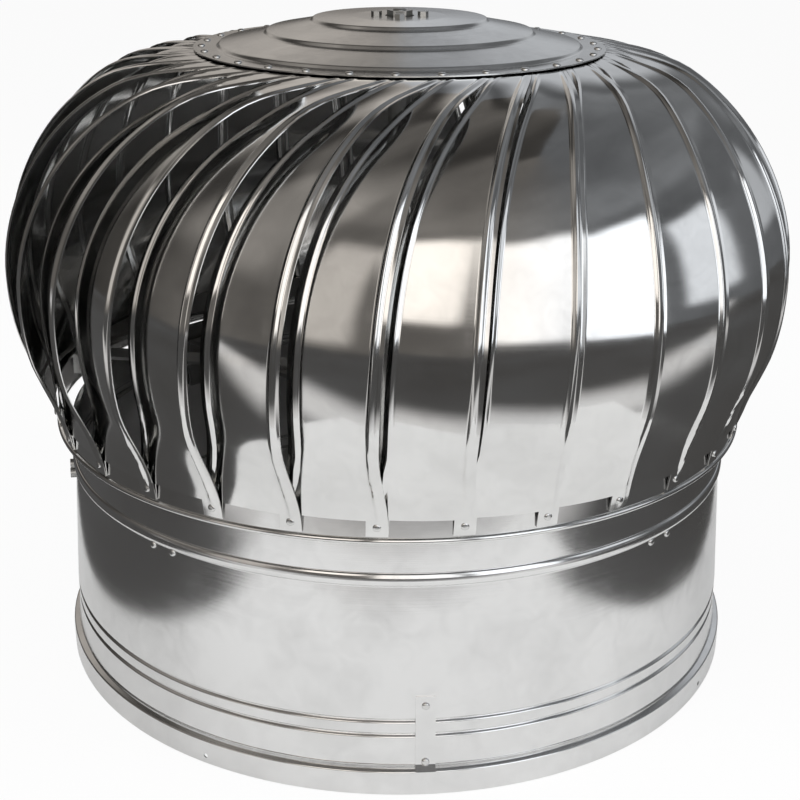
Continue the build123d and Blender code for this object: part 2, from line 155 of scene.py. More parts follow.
class Tree:
    """A node tree under construction."""

    def __init__(self, nodes: bpy.types.NodeTree) -> None:
        """Start on an empty node tree.

        Args:
            nodes: The tree to fill.
        """
        self.nodes = nodes
        self.identifiers: dict[str, str] = {}
        self.entry = None

    def node(
        self, kind: str, inputs: dict, output: Union[int, str] = 0, **settings: object
    ) -> Field:
        """Add a node of any type.

        Args:
            kind: The node's type name.
            inputs: Socket index or name to a value, a socket or a field.
            output: The output that is returned.
            settings: Attributes set before its sockets.

        Returns:
            That output as a field.
        """
        made = self.nodes.nodes.new(kind)
        for name, value in settings.items():
            setattr(made, name, value)
        for name, value in inputs.items():
            if isinstance(value, Field):
                value = value.socket
            if isinstance(value, bpy.types.NodeSocket):
                self.nodes.links.new(value, made.inputs[name])
            else:
                made.inputs[name].default_value = value
        return Field(self, made.outputs[output])

    def vector(self, operation: str, *operands: Value, output: str = "Vector") -> Field:
        """Add one Vector Math node, its inputs in order."""
        made = dict(enumerate(operands))
        return self.node("ShaderNodeVectorMath", made, output, operation=operation)

    def scaled(self, vector: Value, scale: Operand) -> Field:
        """A vector times a number."""
        made = {0: vector, "Scale": scale}
        return self.node("ShaderNodeVectorMath", made, operation="SCALE")

    def joined(self, x: Operand, y: Operand, z: Operand) -> Field:
        """A vector from three numbers."""
        return self.node("ShaderNodeCombineXYZ", {0: x, 1: y, 2: z})

    def blend(self, share: Field, first: Sequence[float], second: Sequence[float]) -> Field:
        """The first colour where the share is 0, the second where it is 1."""
        made = {0: share, 6: first, 7: second}
        return self.node("ShaderNodeMix", made, 2, data_type="RGBA")

    def parts(self, vector: Value) -> Place:
        """The three numbers of a vector."""
        split = self.node("ShaderNodeSeparateXYZ", {0: vector}).socket.node
        return tuple(Field(self, socket) for socket in split.outputs)

    def surface(self, shader: Field, kind: str = "ShaderNodeOutputMaterial") -> None:
        """Make a shader the tree's result."""
        output = self.nodes.nodes.new(kind)
        self.nodes.links.new(shader.socket, output.inputs["Surface"])

    def inlet(self, name: str, kind: str = "NodeSocketFloat") -> Field:
        """Add a named input to a Geometry Nodes group.

        Args:
            name: What the input is called.
            kind: Its socket type.

        Returns:
            The input as a field.
        """
        made = self.nodes.interface.new_socket(name, in_out="INPUT", socket_type=kind)
        self.identifiers[name] = made.identifier
        if self.entry is None:
            self.entry = self.nodes.nodes.new("NodeGroupInput")
        return Field(self, self.entry.outputs[name])

    def copies(self, points: Field, piece: Field, rotation: Field) -> Field:
        """Copies of a geometry set on points, each with its rotation."""
        seats = {"Points": points, "Instance": piece, "Rotation": rotation}
        return self.node("GeometryNodeInstanceOnPoints", seats)

    def outlet(self, copies: Field, steel: Field) -> None:
        """Make copies real, give them their material and make them the group's result.

        Args:
            copies: The finished copies.
            steel: Their material.
        """
        real = self.node("GeometryNodeRealizeInstances", {"Geometry": copies})
        made = self.node("GeometryNodeSetMaterial", {"Geometry": real, "Material": steel})
        kind = "NodeSocketGeometry"
        self.nodes.interface.new_socket("Geometry", in_out="OUTPUT", socket_type=kind)
        self.nodes.links.new(made.socket, self.nodes.nodes.new("NodeGroupOutput").inputs[0])


def shader_tree(owner: Union[bpy.types.Material, bpy.types.World]) -> Tree:
    """Open the node tree of a new material or world.

    Args:
        owner: The material or world.

    Returns:
        Its tree, emptied.
    """
    owner.use_nodes = True
    owner.node_tree.nodes.clear()
    return Tree(owner.node_tree)


def round_axis(radius: float, angle: float, level: float) -> Vector:
    """Place at an angle from the front, in radians."""
    return Vector((radius * math.sin(angle), -radius * math.cos(angle), level))


def linked(name: str, data: Union[bpy.types.ID, bmesh.types.BMesh]) -> bpy.types.Object:
    """Make an object and put it in the scene.

    Args:
        name: Name of the object.
        data: Its mesh, lamp or camera, or a mesh under construction, which is freed.

    Returns:
        The object.
    """
    if isinstance(data, bmesh.types.BMesh):
        work, data = data, bpy.data.meshes.new(name)
        work.to_mesh(data)
        work.free()
    made = bpy.data.objects.new(name, data)
    bpy.context.scene.collection.objects.link(made)
    return made


def evaluated(piece: bpy.types.Object) -> bpy.types.Mesh:
    """Take the mesh that an object's modifiers make."""
    bpy.context.view_layer.update()
    return bpy.data.meshes.new_from_object(
        piece.evaluated_get(bpy.context.evaluated_depsgraph_get())
    )


def grown(
    name: str, start: bpy.types.Mesh, tree: Tree, values: dict[str, object], sheet: float = 0.0
) -> bpy.types.Object:
    """Run a Geometry Nodes tree on a mesh and keep the result as one plain mesh.

    Args:
        name: Name of the new piece.
        start: The mesh that the tree starts from.
        tree: The finished tree.
        values: Input name to value.
        sheet: Wall thickness given to the result, or 0.

    Returns:
        The new object.
    """
    seed = linked(f"{name}_start", start)
    modifier = seed.modifiers.new("build", "NODES")
    modifier.node_group = tree.nodes
    for key, value in values.items():
        modifier[tree.identifiers[key]] = value
    if sheet:
        wall = seed.modifiers.new("wall", "SOLIDIFY")
        wall.thickness = sheet
        wall.offset = 0.0
        wall.use_even_offset = True
    seed.update_tag()
    mesh = evaluated(seed)
    bpy.data.objects.remove(seed)
    mesh.name = name
    return shown(name, mesh)


def shown(name: str, mesh: bpy.types.Mesh) -> bpy.types.Object:
    """Put a mesh in the scene, smooth but for its creases.

    Args:
        name: Name of the object.
        mesh: Its mesh, in the row frame.

    Returns:
        The linked object.
    """
    piece = linked(name, mesh)
    mesh.shade_smooth()
    mesh.set_sharp_from_angle(angle=CREASE)
    return piece


# Finishes


class Grain(Enum):
    """Way that the fine lines of a finish run."""

    ROUND_WALL = "round the axis on an upright wall"
    ROUND_PLATE = "in circles on a flat plate"


@dataclass(frozen=True)
class SteelFinish:
    """Bare steel with smears, fine lines and the slight waves of thin sheet, in metres."""

    name: str
    tint: tuple[float, float, float]
    roughness: float
    smear: float
    line_depth: float
    wave_depth: float
    wave_scale: float = 9.0
    grain: Grain = Grain.ROUND_WALL
    along_lines: float = 6.0
    across_lines: float = 900.0
    line_roughness: float = 0.5
    cloud_scale: float = 14.0
    cloud_share: float = 0.65
    wipe_scale: float = 46.0
    wipe_share: float = 0.35
    clean_share: float = 0.42
    stain_gain: float = 3.2
    stain_tint: float = 0.86

    def material(self) -> bpy.types.Material:
        """Build the procedural material.

        Returns:
            The material.
        """
        made = bpy.data.materials.new(self.name)
        tree = shader_tree(made)
        spot = tree.node("ShaderNodeTexCoord", {}, "Object")
        x, y, z = tree.parts(spot)
        across = z if self.grain is Grain.ROUND_WALL else (x * x + y * y) ** 0.5
        along = self.along_lines
        squeezed = tree.joined(x * along, y * along, across * self.across_lines)
        noise = "ShaderNodeTexNoise"
        clouds = tree.node(noise, {"Vector": spot, "Scale": self.cloud_scale, "Detail": 5.0})
        wipes = tree.node(
            noise, {"Vector": spot, "Scale": self.wipe_scale, "Detail": 3.0, "Distortion": 1.2}
        )
        lines = tree.node(noise, {"Vector": squeezed, "Scale": 1.0, "Detail": 2.0})
        waves = tree.node(noise, {"Vector": spot, "Scale": self.wave_scale, "Detail": 1.5})
        dirt = clouds * self.cloud_share + wipes * self.wipe_share
        stain = ((dirt - self.clean_share).higher(0.0) * self.stain_gain).lower(1.0)
        dull = tuple(channel * self.stain_tint for channel in self.tint)
        colour = tree.blend(stain, (*self.tint, 1.0), (*dull, 1.0))
        brushed = (lines - 0.5) * (self.roughness * self.line_roughness)
        roughness = self.roughness + stain * self.smear + brushed
        swell = {"Height": waves, "Strength": 1.0, "Distance": self.wave_depth}
        scratches = {"Height": lines, "Strength": 1.0, "Distance": self.line_depth}
        scratches["Normal"] = tree.node("ShaderNodeBump", swell)
        normal = tree.node("ShaderNodeBump", scratches)
        look = {"Base Color": colour, "Metallic": 1.0, "Roughness": roughness, "Normal": normal}
        tree.surface(tree.node("ShaderNodeBsdfPrincipled", look))
        return made


HEAD_STEEL = SteelFinish("bright_head_sheet", (0.74, 0.74, 0.73), 0.085, 0.07, 0.000004, 0.0016)
NECK_STEEL = SteelFinish("bright_neck_sheet", (0.76, 0.76, 0.755), 0.13, 0.08, 0.00001, 0.0011, 7.0)
PLATE_STEEL = SteelFinish(
    "spun_plate_sheet", (0.7, 0.7, 0.69), 0.17, 0.08, 0.00001, 0.0008, 8.0, Grain.ROUND_PLATE
)
BAR_STEEL = SteelFinish("flat_bar_steel", (0.5, 0.5, 0.49), 0.34, 0.12, 0.00003, 0.0004, 20.0)
SCREW_STEEL = SteelFinish("screw_steel", (0.42, 0.42, 0.41), 0.3, 0.1, 0.00002, 0.0002, 60.0)
RIVET_STEEL = SteelFinish("rivet_steel", (0.68, 0.68, 0.67), 0.2, 0.08, 0.00001, 0.0001, 90.0)
BEARING_STEEL = SteelFinish("bearing_steel", (0.5, 0.5, 0.5), 0.2, 0.1, 0.00001, 0.0, 40.0)
HOUSING_METAL = SteelFinish(
    "turned_housing", (0.58, 0.58, 0.57), 0.3, 0.1, 0.00003, 0.0, 20.0, Grain.ROUND_PLATE
)


# The head


@dataclass
class Louvres:
    """Thirty lapped blades: each a sheet swept up the head with a bead beside either edge.

    A place along a blade is its share of the head's meridian, 0 at the foot and 1 at the plate. The
    fullnesses say how far each handle of the meridian's curves reaches, as shares of their height
    or width.
    """

    count: int = 30
    phase: float = -2.7
    sheet: float = 0.8 * MM
    ring_radius: float = 311.0 * MM
    foot_radius: float = 312.02 * MM
    foot_level: float = 229.0 * MM
    head_radius: float = 336.5 * MM
    head_level: float = 365.0 * MM
    end_radius: float = 160.0 * MM
    end_level: float = 545.25 * MM
    lift: float = 9.0 * MM
    foot_lift: float = 0.6 * MM
    bead_height: float = 2.0 * MM
    bead_width: float = 7.0 * MM
    lip: float = 3.0 * MM
    tab_width: float = 17.0 * MM
    tab_height: float = 14.2 * MM
    sweep_slope: float = 2.2
    sweep_curl: float = 29.5
    sweep_power: float = 4.8
    foot_lean: float = 0.06
    foot_fullness: float = 0.53
    waist_fullness: float = 0.48
    side_fullness: float = 0.42
    shoulder_fullness: float = 0.64
    foot_share: float = 0.2
    end_place: float = 0.93
    end_share: float = 0.16
    end_gap: float = 0.00125
    least_arch: float = 0.05 * MM
    edge_margin: float = 1.08
    bead_start: float = 0.008
    bead_run_in: float = 0.045
    bead_stop: float = 0.953
    bead_run_out: float = 0.03
    bead_end_height: float = 0.6
    meridian_points: int = 96
    rows: int = 47
    columns: int = 32
    tab_rows: int = 3
    edge_columns: int = 10

    def inputs(self) -> dict[str, float]:
        """Name the tree's sizes.

        Returns:
            Input name to value, angles in radians.
        """
        plain = ("foot_radius", "foot_level", "head_radius", "head_level", "end_radius")
        plain += ("end_level", "lift", "foot_lift", "bead_height", "bead_width", "lip")
        plain += ("tab_width", "tab_height", "sweep_power")
        sizes = {name: getattr(self, name) for name in plain}
        for name in ("sweep_slope", "sweep_curl", "phase"):
            sizes[name] = math.radians(getattr(self, name))
        return {name.replace("_", " ").capitalize(): value for name, value in sizes.items()}

    def meridian(self, tree: Tree, size: dict[str, Field]) -> Field:
        """The head's outline as two joined curve segments, x outward and z up.

        Args:
            tree: The blade tree.
            size: Its named inputs.

        Returns:
            The curve geometry.
        """
        places = ("Foot", "Head", "End")
        foot_r, head_r, end_r = (size[f"{place} radius"] for place in places)
        foot_z, head_z, end_z = (size[f"{place} level"] for place in places)
        rise, upper, reach = head_z - foot_z, end_z - head_z, head_r - end_r
        foot = tree.joined(foot_r, 0.0, foot_z)
        foot_pull = tree.joined(
            foot_r + self.foot_lean * rise, 0.0, foot_z + self.foot_fullness * rise
        )
        waist_pull = tree.joined(head_r, 0.0, head_z - self.waist_fullness * rise)
        middle = tree.joined(head_r, 0.0, head_z)
        side_pull = tree.joined(head_r, 0.0, head_z + self.side_fullness * upper)
        shoulder = tree.joined(end_r + self.shoulder_fullness * reach, 0.0, end_z)
        end = tree.joined(end_r, 0.0, end_z)

        def curve(*points: Field) -> Field:
            """Add one curve segment.

            Args:
                points: Its start, two handles and end.

            Returns:
                The curve geometry.
            """
            made = dict(zip(("Start", "Start Handle", "End Handle", "End"), points))
            made["Resolution"] = self.meridian_points
            kind = "GeometryNodeCurvePrimitiveBezierSegment"
            return tree.node(kind, made, mode="POSITION")

        lower_part = curve(foot, foot_pull, waist_pull, middle)
        upper_part = curve(middle, side_pull, shoulder, end)
        both = tree.node("GeometryNodeJoinGeometry", {0: upper_part})
        tree.nodes.links.new(lower_part.socket, both.socket.node.inputs[0])
        return both

    def tree(self) -> Tree:
        """Build the Geometry Nodes tree that makes every blade.

        Returns:
            The finished tree.
        """
        tree = Tree(bpy.data.node_groups.new("louvre_blades", "GeometryNodeTree"))
        tree.inlet("Geometry", "NodeSocketGeometry")
        size = {name: tree.inlet(name) for name in self.inputs()}
        count = tree.inlet("Blade count", "NodeSocketInt")
        steel = tree.inlet("Steel", "NodeSocketMaterial")
        sizes = {"Size X": 1.0, "Size Y": 1.0, "Vertices X": self.columns, "Vertices Y": self.rows}
        grid = tree.node("GeometryNodeMeshGrid", sizes)
        x, y, _ = tree.parts(tree.node("GeometryNodeInputPosition", {}))
        across, along = x + 0.5, y + 0.5
        edge_share = self.edge_columns / (self.columns - 1)
        tab_share = self.tab_rows / (self.rows - 1)
        from_edge = across.lower(1.0 - across)
        notch = (from_edge > edge_share) * (along < tab_share)
        waste = {"Geometry": grid, "Selection": notch}
        cut = tree.node("GeometryNodeDeleteGeometry", waste, domain="FACE")

        outline = self.meridian(tree, size)
        length = tree.node("GeometryNodeCurveLength", {0: outline})
        tab_t = size["Tab height"] / length
        t = along.lower(tab_share) * (tab_t / tab_share)
        t = t + (along - tab_share).higher(0.0) * ((1.0 - tab_t) / (1.0 - tab_share))
        sample = tree.node(
            "GeometryNodeSampleCurve",
            {"Curves": outline, "Factor": t},
            "Position",
            mode="FACTOR",
            use_all_curves=True,
        )
        radius, _, level = tree.parts(sample)
        run_out, _, run_up = tree.parts(sample.socket.node.outputs["Tangent"])

        foot = t.rise(0.0, self.foot_share)
        end = t.fall(self.end_place, self.end_share)
        lift = size["Lift"] * foot * end + size["Foot lift"] * (1.0 - foot)
        tab_angle = size["Tab width"] / 2.0 / self.ring_radius
        lap = tab_angle * (1.0 - foot) - self.end_gap * (1.0 - end)
        turn = size["Sweep slope"] * t + size["Sweep curl"] * t ** size["Sweep power"]
        pitch = 2.0 * math.pi / count
        start = turn - lap
        finish = turn + pitch + lap

        def on_head(angle: Field, height: Field) -> Field:
            """Point off the head's surface at an angle from the front."""
            out, up = radius + height * run_up, level - height * run_out
            return tree.joined(out * angle.sine(), 0.0 - out * angle.cosine(), up)

        left = on_head(start, 0.0 - lift)
        right = on_head(finish, lift)
        chord = tree.vector("SUBTRACT", right, left)
        width = tree.vector("LENGTH", chord, output="Value")
        along_chord = tree.vector("NORMALIZE", chord)
        middle = (start + finish) * 0.5
        normal = tree.joined(run_up * middle.sine(), 0.0 - run_up * middle.cosine(), 0.0 - run_out)
        lean = tree.vector("DOT_PRODUCT", normal, along_chord, output="Value")
        off_chord = tree.scaled(along_chord, lean)
        facing = tree.vector("NORMALIZE", tree.vector("SUBTRACT", normal, off_chord))
        arch = run_up * radius * (1.0 - ((finish - start) * 0.5).cosine())
        bulge = arch.higher(self.least_arch)

        bead_zone = (size["Lip"] + size["Bead width"]) * foot * self.edge_margin
        zone = bead_zone + size["Tab width"] * (1.0 - foot)
        inset = (from_edge / edge_share).lower(1.0) * zone
        middle_share = (from_edge - edge_share).higher(0.0) / (0.5 - edge_share)
        inset = inset + middle_share * (width * 0.5 - zone)
        reach = inset + (across > 0.5) * (width - 2.0 * inset)
        share = reach / width
        ridge = ((inset - size["Lip"]) / size["Bead width"]).higher(0.0).lower(1.0)
        ridge = 0.5 - 0.5 * (ridge * (2.0 * math.pi)).cosine()
        bead_end = t.rise(self.bead_start, self.bead_run_in)
        bead_end = bead_end * t.fall(self.bead_stop, self.bead_run_out)
        bead_end = bead_end * (self.bead_end_height + (1.0 - self.bead_end_height) * end)
        rise = size["Bead height"] * bead_end * ridge + 4.0 * bulge * share * (1.0 - share)
        off_left = tree.vector("ADD", tree.scaled(along_chord, reach), tree.scaled(facing, rise))
        where = tree.vector("ADD", left, off_left)
        blade = tree.node("GeometryNodeSetPosition", {"Geometry": cut, "Position": where})

        points = tree.node("GeometryNodePoints", {"Count": count})
        index = tree.node("GeometryNodeInputIndex", {})
        spin = tree.joined(0.0, 0.0, size["Phase"] + index * pitch)
        rotation = tree.node("FunctionNodeEulerToRotation", {0: spin})
        tree.outlet(tree.copies(points, blade, rotation), steel)
        return tree

    def build(self, steel: bpy.types.Material) -> bpy.types.Object:
        """Make the blades as one piece that rides on the rotor.

        Args:
            steel: Their material.

        Returns:
            The finished piece.
        """
        values = {**self.inputs(), "Blade count": self.count, "Steel": steel}
        start = bpy.data.meshes.new("louvre_start")
        piece = grown("louvre_blades", start, self.tree(), values, self.sheet)
        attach(piece, "rotor")
        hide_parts(*[f"blade_{k + 1:02d}" for k in range(self.count)])
        return piece


# Sheets turned round the axis

Profile = list[tuple[float, float]]
GUARD_SHARE = 0.3  # how far past a fillet its guard point stands, as a share of the radius
LONG_SIDE = 4  # sides longer than this many guards get guard points
MOST_OF_SIDE = 0.45  # the part of a side that one fillet may take


def rounded(corners: Profile, radius: float, steps: int = 5) -> Profile:
    """Round the corners of an open outline.

    Args:
        corners: Radius and height of each corner.
        radius: Largest fillet radius, cut down where a side is short.
        steps: Points along each fillet.

    Returns:
        The outline with a short curve at each corner, and a point beside it that keeps a long
        side flat.
    """
    made = [corners[0]]
    for before, here, after in zip(corners, corners[1:], corners[2:]):
        a, b, c = Vector(before), Vector(here), Vector(after)
        back, on = (a - b), (c - b)
        turn = math.pi - back.angle(on)
        shortest = min(back.length, on.length)
        cut = min(radius * math.tan(turn / 2), shortest * MOST_OF_SIDE)
        p, q = b + back.normalized() * cut, b + on.normalized() * cut
        guard = cut + radius * GUARD_SHARE
        if back.length > LONG_SIDE * guard:
            made.append(tuple(b + back.normalized() * guard))
        for k in range(steps + 1):
            s = k / steps
            spot = p * (1 - s) ** 2 + b * (2 * s * (1 - s)) + q * s**2
            made.append((spot.x, spot.y))
        if on.length > LONG_SIDE * guard:
            made.append(tuple(b + on.normalized() * guard))
    made.append(corners[-1])
    return made


def sheet_outline(outer: Profile, sheet: float) -> Profile:
    """Close an open outline into a wall of even thickness.

    Args:
        outer: The side that shows, from below to above, its body on the left.
        sheet: Thickness of the wall.

    Returns:
        The closed section.
    """
    inner = []
    for k, (x, y) in enumerate(outer):
        before, after = outer[max(k - 1, 0)], outer[min(k + 1, len(outer) - 1)]
        run = Vector((after[0] - before[0], after[1] - before[1])).normalized()
        inner.append((x - run.y * sheet, y + run.x * sheet))
    return outer + inner[::-1]


def turned(name: str, section: Profile, segments: int = 240) -> bpy.types.Object:
    """Turn a closed section round the axis.

    Args:
        name: Name of the piece.
        section: Radius and height of its corners, anticlockwise.
        segments: Facets round the axis.

    Returns:
        The piece, closed and smooth but for its creases.
    """
    spots, faces = [], []
    for k in range(segments):
        angle = 2 * math.pi * k / segments
        spots += [round_axis(r, angle, z) for r, z in section]
    size = len(section)
    for k in range(segments):
        here, there = k * size, (k + 1) % segments * size
        for j in range(size):
            up = (j + 1) % size
            faces.append((here + j, there + j, there + up, here + up))
    mesh = bpy.data.meshes.new(name)
    mesh.from_pydata(spots, [], faces)
    work = bmesh.new()
    work.from_mesh(mesh)
    bmesh.ops.recalc_face_normals(work, faces=work.faces)
    work.to_mesh(mesh)
    work.free()
    return shown(name, mesh)


@dataclass
class HeadShell:
    """The rotor's ring below the blades and the stepped plate above them."""

    ring_radius: float = 311.0 * MM
    ring_bottom: float = 222.0 * MM
    ring_top: float = 252.0 * MM
    bead: float = 2.5 * MM
    sheet: float = 1.0 * MM
    bore: float = 12.5 * MM
    crown: float = 571.5 * MM
    flat: float = 40.0 * MM
    rim: float = 177.0 * MM
    steps: tuple[tuple[float, float], ...] = ((76.5, 567.5), (116.5, 557.5), (157.0, 547.0))
    step_run: float = 2.0
    step_rise: float = 3.0
    fillet: float = 2.2
    bead_facets: int = 12

    def ring(self, steel: bpy.types.Material) -> bpy.types.Object:
        """Make the ring with its rolled lower bead.

        Args:
            steel: Its material.

        Returns:
            The finished piece.
        """
        outline: Profile = []
        for k in range(self.bead_facets + 1):
            angle = math.pi * k / self.bead_facets - math.pi / 2
            radius = self.ring_radius + self.bead * math.cos(angle)
            outline.append((radius, self.ring_bottom + self.bead * (1 + math.sin(angle))))
        outline.append((self.ring_radius, self.ring_top))
        piece = turned("head_ring", sheet_outline(outline, self.sheet))
        piece.data.materials.append(steel)
        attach(piece, "rotor")
        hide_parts("rotor_ring")
        return piece

    def plate(self, steel: bpy.types.Material) -> bpy.types.Object:
        """Make the pressed plate with its three steps and flat rim.

        Args:
            steel: Its material.

        Returns:
            The finished piece.
        """
        corners: Profile = [(self.bore, self.crown), (self.flat, self.crown)]
        for radius, level in self.steps:
            corners.append(((radius - self.step_run) * MM, (level + self.step_rise) * MM))
            corners.append((radius * MM, level * MM))
        corners.append((self.rim, self.steps[-1][1] * MM))
        outline = rounded(corners[::-1], self.fillet * MM)
        piece = turned("stepped_plate", sheet_outline(outline, self.sheet))
        piece.data.materials.append(steel)
        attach(piece, "rotor")
        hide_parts("top_plate")
        return piece


@dataclass
class Neck:
    """The fixed sheet neck with its hem, pressed grooves and ledge bead, in millimetres."""

    throat: float = 300.0
    top: float = 226.0
    skirt: float = 313.0
    band: float = 308.0
    waist: float = 306.0
    groove: float = 2.5
    half_groove: float = 2.0
    hem_groove: float = 23.0
    waist_groove: float = 51.0
    rib_groove: float = 64.0
    ledge: float = 186.0
    ledge_half: float = 5.5
    ledge_depth: float = 2.5
    ledge_facets: int = 8
    lip: float = 5.0
    sheet: float = 1.0
    fillet: float = 1.6
    fillet_steps: int = 3
    hole_radius: float = 2.0
    hole_level: float = 7.0
    hole_angle: float = -30.0
    hole_facets: int = 24
    holes: int = 4
    drill: float = 6.0

    def outline(self) -> Profile:
        """Draw the wall's outer side.

        Returns:
            Its corners from the bottom edge to the turned-in lip, in metres.
        """

        def dip(below: float, above: float, centre: float) -> Profile:
            """Draw one pressed groove.

            Args:
                below: Wall radius under it.
                above: Wall radius over it.
                centre: Its level.

            Returns:
                Its three corners.
            """
            floor = min(below, above) - self.groove
            start, finish = centre - self.half_groove, centre + self.half_groove
            return [(below, start), (floor, centre), (above, finish)]

        corners = [(self.skirt, 0.0)]
        corners += dip(self.skirt, self.band, self.hem_groove)
        corners += dip(self.waist, self.waist, self.waist_groove)
        corners += dip(self.waist, self.waist, self.rib_groove)
        for k in range(self.ledge_facets + 1):
            angle = math.pi * k / self.ledge_facets
            radius = self.throat + self.ledge_depth * math.sin(angle)
            corners.append((radius, self.ledge - self.ledge_half * math.cos(angle)))
        corners += [(self.throat, self.top), (self.throat - self.lip, self.top)]
        return rounded([(r * MM, z * MM) for r, z in corners], self.fillet * MM, self.fillet_steps)

    def build(self, steel: bpy.types.Material) -> bpy.types.Object:
        """Make the neck and drill its fixing holes.

        Args:
            steel: Its material.

        Returns:
            The finished piece.
        """
        piece = turned("neck_sheet", sheet_outline(self.outline(), self.sheet * MM))
        drills = bmesh.new()
        for k in range(self.holes):
            angle = math.radians(self.hole_angle + 360 * k / self.holes)
            seat = round_axis(self.skirt * MM, angle, self.hole_level * MM)
            aim = Euler((math.pi / 2, 0, angle)).to_matrix().to_4x4()
            bmesh.ops.create_cone(
                drills,
                cap_ends=True,
                segments=self.hole_facets,
                radius1=self.hole_radius * MM,
                radius2=self.hole_radius * MM,
                depth=self.drill * MM,
                matrix=Matrix.Translation(seat) @ aim,
            )
        tool = linked("drills", drills)
        cut = piece.modifiers.new("holes", "BOOLEAN")
        cut.object = tool
        cut.operation = "DIFFERENCE"
        drilled = evaluated(piece)
        bpy.data.objects.remove(tool)
        bpy.data.objects.remove(piece)
        piece = shown("neck_sheet", drilled)
        piece.data.materials.clear()
        piece.data.materials.append(steel)
        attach(piece, "base")
        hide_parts("base_neck")
        return piece


# Rivets


@dataclass(frozen=True)
class RivetSpot:
    """Seat of one rivet head, in degrees and millimetres; a tilt of 90 points its head up."""

    angle: float
    radius: float
    level: float
    tilt: float = 0.0


@dataclass
class Rivets:
    """Dome heads of blind rivets, set by one Geometry Nodes tree for each body."""

    head_radius: float = 3.3 * MM
    head_height: float = 1.7 * MM
    pin_radius: float = 1.1 * MM
    crown: tuple[tuple[float, float], ...] = ((0.0, 1.0), (0.6, 0.995), (1.0, 0.98))
    brim: float = 0.12
    sunk: float = 0.3 * MM
    dome_facets: int = 5
    round_facets: int = 14
    jitter: float = 2.5
    side_jitter: float = -0.6
    seed: int = 7
    blades: int = 30
    tab_seat: RivetSpot = RivetSpot(-2.7, 313.9, 237.0)
    rim_seat: RivetSpot = RivetSpot(-1.0, 170.0, 547.0, 90.0)
    bar_ends: tuple[float, ...] = (-39.0, 46.0, 141.0, 226.0)
    bar_seat: RivetSpot = RivetSpot(2.15, 300.0, 178.0)
    strap_seats: tuple[RivetSpot, ...] = (
        RivetSpot(4.4, 306.6, 78.0, 3.0),
        RivetSpot(4.4, 309.1, 28.0, 4.8),
    )

    def head(self) -> bpy.types.Object:
        """Make one rivet head, a shallow dome with the pin's flat crown.

        Returns:
            The head, its seat at the origin.
        """
        outline: Profile = [(r * self.pin_radius, z * self.head_height) for r, z in self.crown]
        for k in range(1, self.dome_facets + 1):
            angle = math.pi / 2 * (1 - k / self.dome_facets)
            radius = self.pin_radius + (self.head_radius - self.pin_radius) * math.cos(angle)
            rise = self.brim + (1.0 - self.brim) * math.sin(angle)
            outline.append((radius, self.head_height * rise))
        outline.append((self.head_radius, -self.sunk))
        work = bmesh.new()
        top = work.verts.new((0, 0, outline[0][1]))
        turn = [2 * math.pi * k / self.round_facets for k in range(self.round_facets)]
        rings = [
            [work.verts.new((r * math.cos(a), r * math.sin(a), z)) for a in turn]
            for r, z in outline[1:]
        ]
        for k in range(self.round_facets):
            after = (k + 1) % self.round_facets
            work.faces.new((top, rings[0][k], rings[0][after]))
            for low, high in zip(rings[1:], rings):
                work.faces.new((high[k], low[k], low[after], high[after]))
        work.faces.new(rings[-1][::-1])
        return linked("rivet_head", work)

    def tree(self) -> Tree:
        """Build the tree that sets a head on each vertex of the spots' mesh.

        Returns:
            The finished tree.
        """
        tree = Tree(bpy.data.node_groups.new("rivet_heads", "GeometryNodeTree"))
        spots = tree.inlet("Spots", "NodeSocketGeometry")
        head = tree.inlet("Rivet head", "NodeSocketObject")
        jitter = tree.inlet("Tilt jitter")
        seed = tree.inlet("Seed", "NodeSocketInt")
        steel = tree.inlet("Steel", "NodeSocketMaterial")
        named = "GeometryNodeInputNamedAttribute"
        aim = tree.node(named, {"Name": "aim"}, data_type="FLOAT_VECTOR")
        turn = tree.node("FunctionNodeEulerToRotation", {0: aim})
        info = tree.node("GeometryNodeObjectInfo", {"Object": head}, "Geometry")
        points = tree.node("GeometryNodeMeshToPoints", {"Mesh": spots})
        copies = tree.copies(points, info, turn)
        limits = {2: -1.0, 3: 1.0, "Seed": seed}
        chance = tree.node("FunctionNodeRandomValue", limits, 1, data_type="FLOAT")
        wobble = tree.joined(chance * jitter, chance * jitter * self.side_jitter, chance * math.pi)
        loose = tree.node("FunctionNodeEulerToRotation", {0: wobble})
        nudge = {"Instances": copies, "Rotation": loose, "Local Space": True}
        copies = tree.node("GeometryNodeRotateInstances", nudge)
        tree.outlet(copies, steel)
        return tree

    def spots_mesh(self, spots: list[RivetSpot]) -> bpy.types.Mesh:
        """Loose vertices at the seats, each with the turn of its head.

        Args:
            spots: The seats.

        Returns:
            The mesh that the tree reads.
        """
        mesh = bpy.data.meshes.new("rivet_spots")
        places, turns = [], []
        for spot in spots:
            angle = math.radians(spot.angle)
            places.append(round_axis(spot.radius * MM, angle, spot.level * MM))
            turns += [math.pi / 2 - math.radians(spot.tilt), 0.0, angle]
        mesh.from_pydata(places, [], [])
        aim = mesh.attributes.new("aim", "FLOAT_VECTOR", "POINT")
        aim.data.foreach_set("vector", turns)
        return mesh

    def rotor_spots(self) -> list[RivetSpot]:
        """Seats on the lapped tabs of the blades and on the plate's rim."""
        steps = [360 * k / self.blades for k in range(self.blades)]
        return [
            replace(seat, angle=seat.angle + step)
            for seat in (self.tab_seat, self.rim_seat)
            for step in steps
        ]

    def base_spots(self) -> list[RivetSpot]:
        """Seats in pairs at the cross bars' ends, and on the seam strap."""
        pairs = [
            replace(self.bar_seat, angle=bar + side * self.bar_seat.angle)
            for bar in self.bar_ends
            for side in (-1, 1)
        ]
        return [*pairs, *self.strap_seats]

